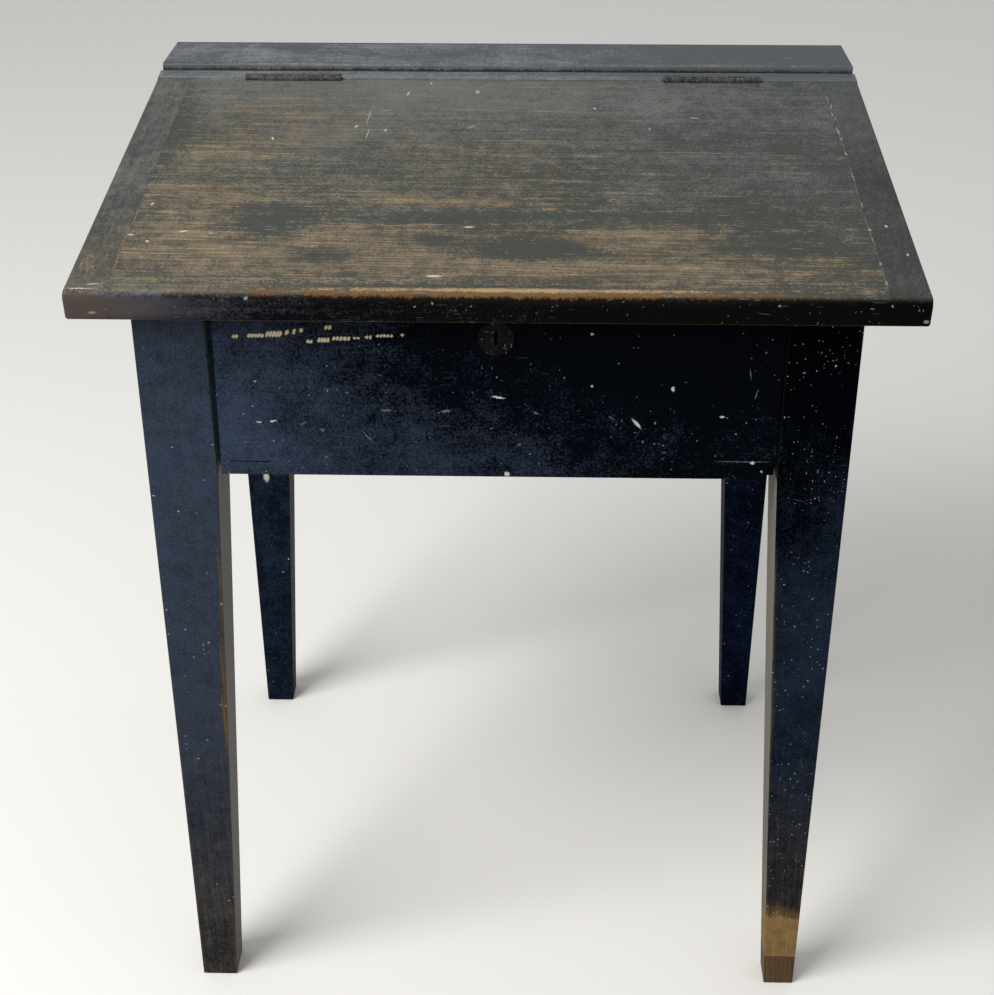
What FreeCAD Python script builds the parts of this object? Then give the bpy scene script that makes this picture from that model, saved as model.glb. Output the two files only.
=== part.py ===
"""School desk with a lift lid on tapered legs: tenoned aprons, a book well, butt hinges, a lid lock.

Millimetres. +Z is up, +Y is to the back, and the origin is on the floor under the middle of the desk.
"""
import FreeCAD, Part
import math
import os
import re
import Sketcher

doc = FreeCAD.newDocument("school_desk")

# Driving sizes

driving = {
    # Legs
    "frame_width": 594.5,
    "frame_depth": 502,
    "leg_side": 60,
    "left_foot_side": 34,
    "right_foot_side": 29,
    "back_foot_side": 31,
    "tip_height": 35,
    # Aprons and their tenons
    "apron_height": 152.5,
    "apron_thick": 20,
    "apron_setback": 2,
    "tenon_thick": 9,
    "tenon_length": 32,
    "tenon_shoulder": 15,
    "tenon_clear": 0.1,
    "mortise_end": 2,
    "left_gap_top": 5.4,
    "left_gap_low": 3.2,
    "right_gap": 1.6,
    # Repairs and damage of the front apron
    "slip_length": 49,
    "slip_height": 11.5,
    "slip_depth": 8,
    "slip_short": 7.5,
    "kerf_inset": 11,
    "kerf_length": 34,
    "kerf_height": 1.3,
    "kerf_depth": 4,
    # Book well
    "ledger_side": 18,
    "well_board_thick": 12,
    "well_board_clear": 0.4,
    "well_board_count": 5,
    "nail_radius": 1.2,
    "nail_head_radius": 2.8,
    "nail_head_thick": 0.8,
    "nail_proud": 0.2,
    "well_nail_length": 26,
    "ledger_nail_length": 30,
    "ledger_nail_share": 0.36,
    # Lid
    "lid_slope": 7.2,
    "side_overhang": 47.75,
    "lid_thick": 25,
    "lid_front_low": 725.5,
    "front_overhang": 20,
    "nose_radius": 8,
    "under_radius": 3,
    "rest_gap": 0.3,
    "cleat_width": 34,
    "cleat_round": 2.5,
    "cleat_gap": 0.1,
    "tongue_thick": 7,
    "tongue_length": 14,
    "tongue_stop": 24,
    "groove_end": 1,
    "lid_boards": 3,
    # Hinge rail and top board
    "rail_width": 20.5,
    "joint_gap": 1,
    "board_depth": 81.8,
    "board_inset": 2,
    "board_thick": 20,
    "board_rise": 7,
    "board_nose": 2.5,
    "board_nail_share": 0.443,
    "board_nail_length": 46,
    "board_nail_sink": 0.5,
    # Hinges
    "hinge_length": 95,
    "hinge_inset": 91.5,
    "hinge_drift": 3.6,
    "axis_rise": 1,
    "barrel_radius": 4,
    "pin_radius": 2,
    "pin_clear": 0.05,
    "knuckle_count": 5,
    "knuckle_clear": 0.3,
    "leaf_thick": 2,
    "leaf_apart": 0.6,
    "leaf_margin": 4,
    "gain_clear": 0.4,
    # Screws
    "screw_space": 32,
    "screw_radius": 1.7,
    "screw_head_radius": 3.2,
    "screw_head_height": 1.8,
    "screw_length": 13,
    "screw_tip": 3,
    "slot_wide": 0.8,
    "slot_deep": 0.7,
    "screw_clear": 0.25,
    # Lock
    "lock_height": 40,
    "lock_ear": 8,
    "lock_foot": 4.4,
    "lock_sheet": 1.6,
    "flange_depth": 14,
    "case_width": 60,
    "case_depth": 11.5,
    "case_wall": 1.2,
    "case_clear": 0.2,
    "key_drop": 20,
    "key_round": 1.9,
    "key_slot_wide": 2.2,
    "key_slot_drop": 10,
    "key_pin_radius": 0.9,
    "key_pin_out": 15,
    "bolt_clear": 0.3,
    "bolt_low": 17.5,
    "bolt_bar_height": 5,
    "bolt_finger_wide": 2.6,
    "bolt_finger_height": 3,
    "bolt_finger_length": 6,
    "bolt_post_wide": 4,
    "bolt_short": 1,
    "lock_screw_drop": 7,
    "lock_screw_space": 26,
    "lock_screw_length": 11,
    # Link plate under the lid
    "staple_share": 0.2167,
    "staple_thick": 3,
    "staple_wide": 5.6,
    "staple_drop": 10.5,
    "staple_inset": 5,
    "eye_wide": 3.8,
    "eye_height": 4.6,
    "eye_drop": 6,
    "slot_clear": 0.5,
    "slot_front": 3.4,
    "link_screw_inset": 12,
    # Escutcheon
    "plate_radius": 14.8,
    "plate_thick": 1.2,
    "rim_wide": 1.6,
    "rim_high": 0.6,
    "plate_drop": 24,
    "plate_pin_inset": 3.8,
    "plate_pin_radius": 0.8,
    "plate_pin_length": 8,
    "plate_pin_head": 1.6,
    # How far a cut runs past the wood
    "overrun": 10,
}

# Sizes that follow from them

derived = {
    "slope_sin": "sin(lid_slope * 1 deg)",
    "slope_cos": "cos(lid_slope * 1 deg)",
    "slope_tan": "tan(lid_slope * 1 deg)",
    "side_face": "frame_width / 2",
    "lid_width": "frame_width + 2 * side_overhang",
    "board_width": "lid_width - 2 * board_inset",
    "inner_leg": "side_face - leg_side",
    "side_inner": "side_face - apron_setback - apron_thick",
    "nose_reach": "front_overhang + lid_thick * slope_sin - nose_radius * (slope_cos + slope_sin - 1)",
    "front_face": "(nose_reach - frame_depth) / 2",
    "back_face": "front_face + frame_depth",
    "front_wood": "front_face + apron_setback",
    "front_inner": "front_wood + apron_thick",
    "back_inner": "back_face - apron_setback - apron_thick",
    "rest_front": "lid_front_low + front_overhang * slope_tan - rest_gap / slope_cos",
    "apron_low": "rest_front - apron_height",
    "tenon_inset": "apron_setback + (apron_thick - tenon_thick) / 2",
    "tenon_low": "apron_low + tenon_shoulder",
    "front_tenon_high": "rest_front - tenon_shoulder",
    "lid_run": "front_overhang + lid_thick * slope_sin + frame_depth - board_depth",
    "lid_length": "lid_run / slope_cos - rail_width",
    "hinge_y": "front_face - front_overhang - (lid_thick + axis_rise) * slope_sin + lid_length * slope_cos",
    "hinge_z": "lid_front_low + (lid_thick + axis_rise) * slope_cos + lid_length * slope_sin",
    "lid_low": "-axis_rise - lid_thick",
    "lid_middle": "-axis_rise - lid_thick / 2",
    "joint_half": "joint_gap / 2",
    "lid_board_width": "(lid_length - joint_half) / lid_boards",
    "lid_board_length": "lid_width - 2 * (cleat_width + cleat_gap)",
    "tongue_span": "lid_width - 2 * (cleat_width - tongue_length)",
    "board_front": "hinge_y + rail_width * slope_cos + axis_rise * slope_sin",
    "board_top": "hinge_z + rail_width * slope_sin - axis_rise * slope_cos + board_rise",
    "board_low": "board_top - board_thick",
    "back_tenon_high": "board_low - tenon_shoulder",
    "board_nail_space": "inner_leg * board_nail_share",
    "well_board_step": "2 * side_inner / well_board_count",
    "well_board_low": "apron_low + ledger_side",
    "well_board_top": "well_board_low + well_board_thick",
    "hinge_centre": "lid_width / 2 - hinge_inset - hinge_length / 2",
    "knuckle_step": "hinge_length / knuckle_count",
    "leaf_height": "lid_thick + axis_rise - leaf_margin",
    "leaf_inner": "leaf_apart / 2",
    "leaf_outer": "leaf_inner + leaf_thick",
    "leaf_top": "barrel_radius + knuckle_clear",
    "bore_radius": "pin_radius + pin_clear",
    "screw_down": "(leaf_top + leaf_height) / 2",
    "flange_top": "rest_front + (apron_setback + apron_thick - flange_depth) * slope_tan",
    "lock_width": "case_width + 2 * lock_ear",
    "lock_screw_side": "(case_width + lock_ear) / 2",
    "case_height": "lock_height - lock_sheet - lock_foot",
    "case_top": "flange_top - lock_sheet",
    "case_low": "case_top - case_height",
    "lock_low": "flange_top - lock_height",
    "key_height": "rest_front - key_drop",
    "plate_height": "rest_front - plate_drop",
    "staple_side": "case_width * staple_share",
    "link_screw_side": "lock_width / 2 - link_screw_inset",
    "plate_pin_side": "plate_radius - plate_pin_inset",
    "eye_y": "front_inner - staple_inset + eye_drop * slope_sin",
    "eye_run": "apron_setback + apron_thick - staple_inset",
    "staple_place": "(front_overhang + eye_run) / slope_cos - lid_length",
    "lid_over_eye": "rest_front + eye_run * slope_tan + rest_gap / slope_cos",
    "eye_z": "lid_over_eye - eye_drop * slope_cos",
    "finger_low": "eye_z - bolt_finger_height / 2",
    "bolt_bar_low": "flange_top - bolt_low",
}

sheet = doc.addObject("Spreadsheet::Sheet", "sizes")
for line, (name, value) in enumerate(driving.items(), start=1):
    sheet.set(f"A{line}", name)
    sheet.set(f"B{line}", str(value))
    sheet.setAlias(f"B{line}", name)
for line, (name, text) in enumerate(derived.items(), start=len(driving) + 1):
    sheet.set(f"A{line}", name)
    sheet.set(f"B{line}", f"={text}")
    sheet.setAlias(f"B{line}", name)
doc.recompute()
named = set(driving) | set(derived)


# Ways of building

def bound(text):
    """The expression with every size's name pointing at its cell in the sheet."""
    return re.sub(r"[a-z]\w*", lambda word: f"sizes.{word[0]}" if word[0] in named else word[0], text)


def number(text):
    """The value that an expression has now."""
    return float(sheet.evalExpression(text))


def lay(thing, x="0", y="0", z="0"):
    """Bind a thing's place to the sheet."""
    for axis, text in zip("xyz", (x, y, z)):
        thing.setExpression(f"Placement.Base.{axis}", bound(text))


def piece(label, x="0", y="0", z="0"):
    """A new piece, with its own place in the desk."""
    made = doc.addObject("PartDesign::Body", label)
    made.Label = label
    lay(made, x, y, z)
    return made


def lid_piece(label, x="0"):
    """A piece built square to the lid, from the hinge axis: y runs up the slope and z off the lid."""
    made = doc.addObject("PartDesign::Body", label)
    made.Label = label
    made.Placement = FreeCAD.Placement(
        FreeCAD.Vector(), FreeCAD.Rotation(FreeCAD.Vector(1, 0, 0), number("lid_slope")))
    lay(made, x, "hinge_y", "hinge_z")
    made.setExpression("Placement.Rotation.Angle", bound("lid_slope * 1 deg"))
    return made


def axis_of(body, role):
    """One of a piece's own axes or planes."""
    return next(item for item in body.Origin.OriginFeatures if item.Role == role)


def outline(body, plane, corners):
    """A closed outline, anticlockwise. A third entry is the radius of the round that leaves that corner."""
    made = body.newObject("Sketcher::SketchObject", f"{body.Label}_outline")
    made.AttachmentSupport = (axis_of(body, plane), [""])
    made.MapMode = "FlatFace"
    points = [FreeCAD.Vector(number(corner[0]), number(corner[1]), 0) for corner in corners]
    following = points[1:] + points[:1]
    for corner, start, end in zip(corners, points, following):
        if len(corner) == 2:
            made.addGeometry(Part.LineSegment(start, end))
            continue
        radius = number(corner[2])
        chord = end - start
        rise = math.sqrt(max(radius ** 2 - (chord.Length / 2) ** 2, 0))
        side = FreeCAD.Vector(-chord.y, chord.x, 0).normalize()
        centre = (start + end) / 2 + side * rise
        first = math.atan2(start.y - centre.y, start.x - centre.x)
        last = math.atan2(end.y - centre.y, end.x - centre.x)
        made.addGeometry(Part.ArcOfCircle(Part.Circle(centre, FreeCAD.Vector(0, 0, 1), radius), first, last))
    for edge, corner in enumerate(corners):
        made.addConstraint(Sketcher.Constraint("Coincident", edge, 2, (edge + 1) % len(corners), 1))
        for kind, line, text in (("DistanceX", -2, corner[0]), ("DistanceY", -1, corner[1])):
            if text == "0":
                made.addConstraint(Sketcher.Constraint("PointOnObject", edge, 1, line))
                continue
            index = made.addConstraint(Sketcher.Constraint(kind, -1, 1, edge, 1, number(text)))
            made.setExpression(f"Constraints[{index}]", bound(text))
        if len(corner) == 3:
            index = made.addConstraint(Sketcher.Constraint("Radius", edge, number(corner[2])))
            made.setExpression(f"Constraints[{index}]", bound(corner[2]))
    return made


def pad(body, profile, length, way="both"):
    """Wood or metal of that outline. It runs both ways from its plane, or one way."""
    made = body.newObject("PartDesign::Pad", f"{body.Label}_pad")
    made.Profile = profile
    made.setExpression("Length", bound(length))
    if way == "both":
        made.SideType = "Symmetric"
    made.Reversed = way == "back"
    return made


def round_end(body, feature, way, radius):
    """Rounds the edges of the end that looks that way along x, but for the edge furthest back."""
    doc.recompute()
    solid = feature.Shape
    end = max(solid.Faces, key=lambda face: face.CenterOfMass.x * way)
    worn = sorted(end.Edges, key=lambda edge: edge.CenterOfMass.y)[:-1]
    made = body.newObject("PartDesign::Fillet", f"{body.Label}_round")
    made.Base = (feature, [f"Edge{count}" for count, edge in enumerate(solid.Edges, start=1)
                           if any(edge.isSame(other) for other in worn)])
    made.setExpression("Radius", bound(radius))
    return made


def pocket(body, profile, length):
    """A cut of that outline, as long as given, half to each side of its plane."""
    made = body.newObject("PartDesign::Pocket", f"{body.Label}_pocket")
    made.Profile = profile
    made.setExpression("Length", bound(length))
    made.SideType = "Symmetric"
    return made


def block(body, kind, size, corner):
    """A square-edged block, added to the piece or cut from it, from its low corner."""
    made = body.newObject(f"PartDesign::{kind}Box", f"{body.Label}_block")
    for way, text in zip(("Length", "Width", "Height"), size):
        made.setExpression(way, bound(text))
    lay(made, *corner)
    return made


turns = {
    "up": FreeCAD.Rotation(),
    "right": FreeCAD.Rotation(FreeCAD.Vector(0, 1, 0), 90),
    "left": FreeCAD.Rotation(FreeCAD.Vector(0, 1, 0), -90),
    "front": FreeCAD.Rotation(FreeCAD.Vector(1, 0, 0), 90),
    "back": FreeCAD.Rotation(FreeCAD.Vector(1, 0, 0), -90),
    "down": FreeCAD.Rotation(FreeCAD.Vector(1, 0, 0), 180),
}


def rod(body, kind, radius, length, start, way):
    """A round rod, added or cut, from its start in one direction."""
    made = body.newObject(f"PartDesign::{kind}Cylinder", f"{body.Label}_rod")
    made.setExpression("Radius", bound(radius))
    made.setExpression("Height", bound(length))
    made.Placement = FreeCAD.Placement(FreeCAD.Vector(), turns[way])
    lay(made, *start)
    return made


def cone(body, kind, radii, length, start, way):
    """A cone, added or cut, from its start in one direction."""
    made = body.newObject(f"PartDesign::{kind}Cone", f"{body.Label}_cone")
    made.setExpression("Radius1", bound(radii[0]))
    made.setExpression("Radius2", bound(radii[1]))
    made.setExpression("Height", bound(length))
    made.Placement = FreeCAD.Placement(FreeCAD.Vector(), turns[way])
    lay(made, *start)
    return made


def repeat(body, way, length, count):
    """The whole piece again, at equal steps along one axis."""
    doc.recompute()
    made = body.newObject("PartDesign::LinearPattern", f"{body.Label}_row")
    made.TransformMode = "Whole shape"
    made.Direction = (axis_of(body, way), [""])
    made.setExpression("Length", bound(length))
    made.Occurrences = count
    body.Tip = made
    return made


def span(sign, start, length):
    """The low end of a length that runs inward from an outer face, to the right or to the left of it."""
    return f"{start}" if sign > 0 else f"-({start}) - ({length})"


def along(start, way, text):
    """A start moved by a length in one direction, among the directions that screws are driven."""
    x, y, z = start
    moved = {
        "front": (x, f"{y} - ({text})", z),
        "back": (x, f"{y} + {text}", z),
        "up": (x, y, f"{z} + {text}"),
    }
    return moved[way]


def screw(body, start, way, length):
    """A countersunk screw with its slotted head at the start."""
    cone(body, "Additive", ("screw_head_radius", "screw_radius"), "screw_head_height", start, way)
    plain = f"{length} - screw_tip - screw_head_height"
    rod(body, "Additive", "screw_radius", plain, along(start, way, "screw_head_height"), way)
    tip_start = along(start, way, f"{length} - screw_tip")
    cone(body, "Additive", ("screw_radius", "0"), "screw_tip", tip_start, way)
    x, y, z = start
    wide = "2 * screw_head_radius"
    left = f"{x} - screw_head_radius"
    if way == "up":
        block(body, "Subtractive", (wide, "slot_wide", "slot_deep"), (left, f"{y} - slot_wide / 2", z))
        return
    deep = f"{y} - slot_deep" if way == "front" else y
    block(body, "Subtractive", (wide, "slot_deep", "slot_wide"), (left, deep, f"{z} - slot_wide / 2"))


def screw_hole(body, start, way, thick):
    """A countersunk hole with room around the screw."""
    rod(body, "Subtractive", "screw_radius + screw_clear", thick, start, way)
    radii = ("screw_head_radius + screw_clear", "screw_radius + screw_clear")
    cone(body, "Subtractive", radii, "screw_head_height", start, way)


# Legs, each built from its outer corner on the floor

def leg(label, in_x, in_y, foot, top_outer, top_inner, tenon_high):
    """One leg: square at the top and tapered on its two inner faces, with a mortise in each."""
    made = piece(label, f"{-in_x} * side_face", "front_face" if in_y > 0 else "back_face")
    side = [
        ("0", "0"),
        (f"{in_y} * {foot}", "0"),
        (f"{in_y} * leg_side", "apron_low"),
        (f"{in_y} * leg_side", top_inner),
        ("0", top_outer),
    ]
    pad(made, outline(made, "YZ_Plane", side), "leg_side", "forward" if in_x > 0 else "back")
    taper = [
        (f"{in_x} * {foot}", "0"),
        (f"{in_x} * {foot}", "-overrun"),
        (f"{in_x} * (leg_side + overrun)", "-overrun"),
        (f"{in_x} * (leg_side + overrun)", "apron_low"),
        (f"{in_x} * leg_side", "apron_low"),
    ]
    pocket(made, outline(made, "XZ_Plane", taper), "2 * (leg_side + overrun)")
    if tenon_high is None:
        return made
    deep = "tenon_length + mortise_end + overrun"
    thick = "tenon_thick + 2 * tenon_clear"
    high = f"{tenon_high} - tenon_low + 2 * tenon_clear"
    from_end = "leg_side - tenon_length - mortise_end"
    from_face = "tenon_inset - tenon_clear"
    low = "tenon_low - tenon_clear"
    block(made, "Subtractive", (deep, thick, high),
          (span(in_x, from_end, deep), span(in_y, from_face, thick), low))
    block(made, "Subtractive", (thick, deep, high),
          (span(in_x, from_face, thick), span(in_y, from_end, deep), low))
    return made


front_top = ("rest_front", "rest_front + leg_side * slope_tan")
leg("front_left_leg", 1, 1, "left_foot_side", *front_top, "front_tenon_high")
short_leg = leg("front_right_leg", -1, 1, "right_foot_side", *front_top, "front_tenon_high")
leg("back_left_leg", 1, -1, "back_foot_side", "board_low", "board_low", "back_tenon_high")
leg("back_right_leg", -1, -1, "back_foot_side", "board_low", "board_low", "back_tenon_high")

# The front right leg ends above a tip that carries its taper on to the floor

wide = "leg_side + 2 * overrun"
corner = "-leg_side - overrun"
block(short_leg, "Subtractive", (wide, wide, "tip_height + overrun"), (corner, "-overrun", "-overrun"))
tip = leg("front_right_foot_tip", -1, 1, "right_foot_side", *front_top, None)
block(tip, "Subtractive", (wide, wide, "board_top"), (corner, "-overrun", "tip_height"))

# Front apron: its shoulders have drawn away from the legs, and its tenons still reach into them

front_apron = piece("front_apron")
section = [
    ("front_wood", "apron_low"),
    ("front_inner", "apron_low"),
    ("front_inner", "rest_front + (apron_setback + apron_thick) * slope_tan"),
    ("front_wood", "rest_front + apron_setback * slope_tan"),
]
pad(front_apron, outline(front_apron, "YZ_Plane", section), "2 * inner_leg")
left_end = [
    ("-inner_leg - overrun", "apron_low - overrun"),
    ("-inner_leg + left_gap_low", "apron_low - overrun"),
    ("-inner_leg + left_gap_low", "apron_low"),
    ("-inner_leg + left_gap_top", "rest_front"),
    ("-inner_leg + left_gap_top", "rest_front + overrun"),
    ("-inner_leg - overrun", "rest_front + overrun"),
]
pocket(front_apron, outline(front_apron, "XZ_Plane", left_end), "2 * (frame_depth + overrun)")
whole = "rest_front - apron_low + 2 * overrun"
block(front_apron, "Subtractive", ("right_gap + overrun", "apron_thick + 2 * overrun", whole),
      ("inner_leg - right_gap", "front_wood - overrun", "apron_low - overrun"))
for end in ("-inner_leg - tenon_length", "inner_leg - tenon_length"):
    block(front_apron, "Additive", ("2 * tenon_length", "tenon_thick", "front_tenon_high - tenon_low"),
          (end, "front_face + tenon_inset", "tenon_low"))
rod(front_apron, "Subtractive", "key_round", "apron_thick + 2 * overrun",
    ("0", "front_wood - overrun", "key_height"), "back")
block(front_apron, "Subtractive", ("key_slot_wide", "apron_thick + 2 * overrun", "key_slot_drop"),
      ("-key_slot_wide / 2", "front_wood - overrun", "key_height - key_slot_drop"))
block(front_apron, "Subtractive",
      ("case_width + 2 * case_clear", "case_depth + case_clear + overrun",
       "case_height + case_clear + overrun"),
      ("-case_width / 2 - case_clear", "front_inner - case_depth - case_clear", "case_low - case_clear"))
block(front_apron, "Subtractive",
      ("lock_width + 2 * case_clear", "flange_depth + case_clear + overrun", "overrun"),
      ("-lock_width / 2 - case_clear", "front_inner - flange_depth - case_clear", "case_top"))
block(front_apron, "Subtractive", ("slip_length + overrun", "slip_depth + overrun", "slip_height + overrun"),
      ("inner_leg - right_gap - slip_length", "front_wood - overrun", "apron_low - overrun"))
block(front_apron, "Subtractive", ("kerf_length", "kerf_depth + overrun", "kerf_height"),
      ("-inner_leg + kerf_inset", "front_wood - overrun", "apron_low + slip_height"))

# Slip let into the lower right corner of the front apron, broken short at the leg

slip = piece("apron_slip")
block(slip, "Additive", ("slip_length - slip_short", "slip_depth", "slip_height"),
      ("inner_leg - right_gap - slip_length", "front_wood", "apron_low"))

# Back apron

back_apron = piece("back_apron")
block(back_apron, "Additive", ("2 * inner_leg", "apron_thick", "board_low - apron_low"),
      ("-inner_leg", "back_inner", "apron_low"))
block(back_apron, "Additive",
      ("2 * (inner_leg + tenon_length)", "tenon_thick", "back_tenon_high - tenon_low"),
      ("-inner_leg - tenon_length", "back_face - tenon_inset - tenon_thick", "tenon_low"))

# Side aprons: their top edges carry the lid, then step up to the top board

for label, place, tenon_place in (
        ("left_apron", "-side_face + apron_setback", "-side_face + tenon_inset"),
        ("right_apron", "side_inner", "side_face - tenon_inset - tenon_thick")):
    side_apron = piece(label, place)
    profile = [
        ("front_face + leg_side", "apron_low"),
        ("back_face - leg_side", "apron_low"),
        ("back_face - leg_side", "board_low"),
        ("board_front", "board_low"),
        ("board_front", "rest_front + (board_front - front_face) * slope_tan"),
        ("front_face + leg_side", "rest_front + leg_side * slope_tan"),
    ]
    pad(side_apron, outline(side_apron, "YZ_Plane", profile), "apron_thick", "forward")
    inward = f"{tenon_place} - ({place})"
    block(side_apron, "Additive", ("tenon_thick", "2 * tenon_length", "front_tenon_high - tenon_low"),
          (inward, "front_face + leg_side - tenon_length", "tenon_low"))
    block(side_apron, "Additive", ("tenon_thick", "2 * tenon_length", "back_tenon_high - tenon_low"),
          (inward, "back_face - leg_side - tenon_length", "tenon_low"))

# Ledgers along the foot of each apron, between the legs

across = ("2 * inner_leg", "ledger_side", "ledger_side")
lengthways = ("ledger_side", "frame_depth - 2 * leg_side", "ledger_side")
ledger_places = {
    "front_ledger": (across, ("-inner_leg", "front_inner", "apron_low")),
    "back_ledger": (across, ("-inner_leg", "back_inner - ledger_side", "apron_low")),
    "left_ledger": (lengthways, ("-side_inner", "front_face + leg_side", "apron_low")),
    "right_ledger": (lengthways, ("side_inner - ledger_side", "front_face + leg_side", "apron_low")),
}
for label, (size, place) in ledger_places.items():
    block(piece(label, *place), "Additive", size, ("0", "0", "0"))

# Nails through the ledgers into the aprons, three to each

ledger_nails = piece("ledger_nails")
for sign in (-1, 0, 1):
    low = "apron_low + ledger_side / 2"
    across_place = f"{sign} * ledger_nail_share * 2 * inner_leg"
    length_place = f"(front_face + back_face) / 2 + {sign} * ledger_nail_share * (frame_depth - 2 * leg_side)"
    starts = {
        "front": (across_place, "front_inner + ledger_side + nail_proud", low),
        "back": (across_place, "back_inner - ledger_side - nail_proud", low),
        "left": ("-side_inner + ledger_side + nail_proud", length_place, low),
        "right": ("side_inner - ledger_side - nail_proud", length_place, low),
    }
    for way, start in starts.items():
        rod(ledger_nails, "Additive", "nail_head_radius", "nail_head_thick", start, way)
        rod(ledger_nails, "Additive", "nail_radius", "ledger_nail_length", start, way)

# Boards of the well's bottom, from front to back; the outer two are notched round the legs

board_size = (
    "well_board_step - 2 * well_board_clear",
    "back_inner - front_inner - 2 * well_board_clear",
    "well_board_thick",
)
notch = "leg_side - apron_setback - apron_thick + well_board_clear"
notch_size = (f"{notch} + overrun", f"{notch} + overrun", "well_board_thick + 2 * overrun")
for count in range(driving["well_board_count"]):
    well_board = piece(f"well_board_{count + 1}")
    left = f"-side_inner + {count} * well_board_step + well_board_clear"
    block(well_board, "Additive", board_size, (left, "front_inner + well_board_clear", "well_board_low"))
    if 0 < count < driving["well_board_count"] - 1:
        continue
    notch_left = "-side_inner - overrun" if count == 0 else f"side_inner - ({notch})"
    for notch_front in ("front_inner - overrun", f"back_inner - ({notch})"):
        block(well_board, "Subtractive", notch_size, (notch_left, notch_front, "well_board_low - overrun"))

# Nails of those boards, a row into the front ledger and a row into the back one

well_nails = piece("well_nails")
for row in ("front_inner + ledger_side / 2", "back_inner - ledger_side / 2"):
    for count in range(1, 2 * driving["well_board_count"] - 1):
        start = (f"-side_inner + ({count} + 1 / 2) * well_board_step / 2", row, "well_board_top + nail_proud")
        rod(well_nails, "Additive", "nail_head_radius", "nail_head_thick", start, "down")
        rod(well_nails, "Additive", "nail_radius", "well_nail_length", start, "down")

# Top board, with a rounded front edge, and its nails into the back apron, punched below its surface

top_board = piece("top_board")
section = [
    ("board_front", "board_low"),
    ("back_face", "board_low"),
    ("back_face", "board_top"),
    ("board_front + board_nose", "board_top", "board_nose"),
    ("board_front", "board_top - board_nose"),
]
pad(top_board, outline(top_board, "YZ_Plane", section), "board_width")

top_board_nails = piece("top_board_nails")
nail_start = ("-2 * board_nail_space", "back_inner + apron_thick / 2", "board_top - board_nail_sink")
rod(top_board_nails, "Additive", "nail_head_radius", "nail_head_thick", nail_start, "down")
rod(top_board_nails, "Additive", "nail_radius", "board_nail_length", nail_start, "down")
repeat(top_board_nails, "X_Axis", "4 * board_nail_space", 5)

# Hinge rail: it carries the lid's slope on to the top board, and its back edge is plumb.
# Both hinges sit a little to the left of even.

hinge_places = {"left": "-hinge_centre - hinge_drift", "right": "hinge_centre - hinge_drift"}


def hinge_gains(body, side):
    """Room for both hinges in an edge of the lid (side -1) or of the rail (side 1)."""
    for centre in hinge_places.values():
        left = f"{centre} - hinge_length / 2 - gain_clear"
        long = "hinge_length + 2 * gain_clear"
        room = "barrel_radius + gain_clear"
        block(body, "Subtractive", (long, room, f"{room} + overrun"),
              (left, span(side, "0", room), f"-({room})"))
        leaf_low = "-leaf_height - gain_clear"
        block(body, "Subtractive", (long, "leaf_outer", "leaf_height + gain_clear"),
              (left, span(side, "0", "leaf_outer"), leaf_low))


hinge_rail = lid_piece("hinge_rail")
section = [
    ("joint_half", "lid_low - rest_gap"),
    ("rail_width - (lid_thick + rest_gap) * slope_tan", "lid_low - rest_gap"),
    ("rail_width", "-axis_rise"),
    ("joint_half", "-axis_rise"),
]
pad(hinge_rail, outline(hinge_rail, "YZ_Plane", section), "lid_width")
hinge_gains(hinge_rail, 1)

# Lid boards: the first has a rounded front edge, and all have tongues for the cleats

front_board = lid_piece("lid_front_board")
section = [
    ("-lid_length + under_radius", "lid_low"),
    ("-lid_length + lid_board_width", "lid_low"),
    ("-lid_length + lid_board_width", "-axis_rise"),
    ("-lid_length + nose_radius", "-axis_rise", "nose_radius"),
    ("-lid_length", "-axis_rise - nose_radius"),
    ("-lid_length", "lid_low + under_radius", "under_radius"),
]
pad(front_board, outline(front_board, "YZ_Plane", section), "lid_board_length")
block(front_board, "Additive", ("tongue_span", "lid_board_width - tongue_stop", "tongue_thick"),
      ("-tongue_span / 2", "-lid_length + tongue_stop", "lid_middle - tongue_thick / 2"))
block(front_board, "Subtractive",
      ("lock_width + 2 * case_clear", "flange_depth + 2 * case_clear", "lock_sheet + overrun"),
      ("-lock_width / 2 - case_clear", "staple_place - flange_depth / 2 - case_clear", "lid_low - overrun"))

for count, label in ((1, "lid_middle_board"), (2, "lid_back_board")):
    lid_board = lid_piece(label)
    start = f"-lid_length + {count} * lid_board_width"
    block(lid_board, "Additive", ("lid_board_length", "lid_board_width", "lid_thick"),
          ("-lid_board_length / 2", start, "lid_low"))
    block(lid_board, "Additive", ("tongue_span", "lid_board_width", "tongue_thick"),
          ("-tongue_span / 2", start, "lid_middle - tongue_thick / 2"))
hinge_gains(lid_board, -1)

# Cleats across the ends of the lid, each rounded at its outer end and grooved for the tongues

for label, sign in (("lid_left_cleat", 1), ("lid_right_cleat", -1)):
    cleat = lid_piece(label, f"{-sign} * lid_width / 2")
    section = [
        ("-lid_length + under_radius", "lid_low"),
        ("-joint_half", "lid_low"),
        ("-joint_half", "-axis_rise"),
        ("-lid_length + nose_radius", "-axis_rise", "nose_radius"),
        ("-lid_length", "-axis_rise - nose_radius"),
        ("-lid_length", "lid_low + under_radius", "under_radius"),
    ]
    bar = pad(cleat, outline(cleat, "YZ_Plane", section), "cleat_width", "forward" if sign > 0 else "back")
    round_end(cleat, bar, -sign, "cleat_round")
    deep = "tongue_length + groove_end + overrun"
    start = span(sign, "cleat_width - tongue_length - groove_end", deep)
    block(cleat, "Subtractive", (deep, "lid_length - tongue_stop + overrun", "tongue_thick"),
          (start, "-lid_length + tongue_stop", "lid_middle - tongue_thick / 2"))

# Butt hinges: the leaf on the rail has the outer knuckles and the pin, the leaf on the lid the ones between

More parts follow.
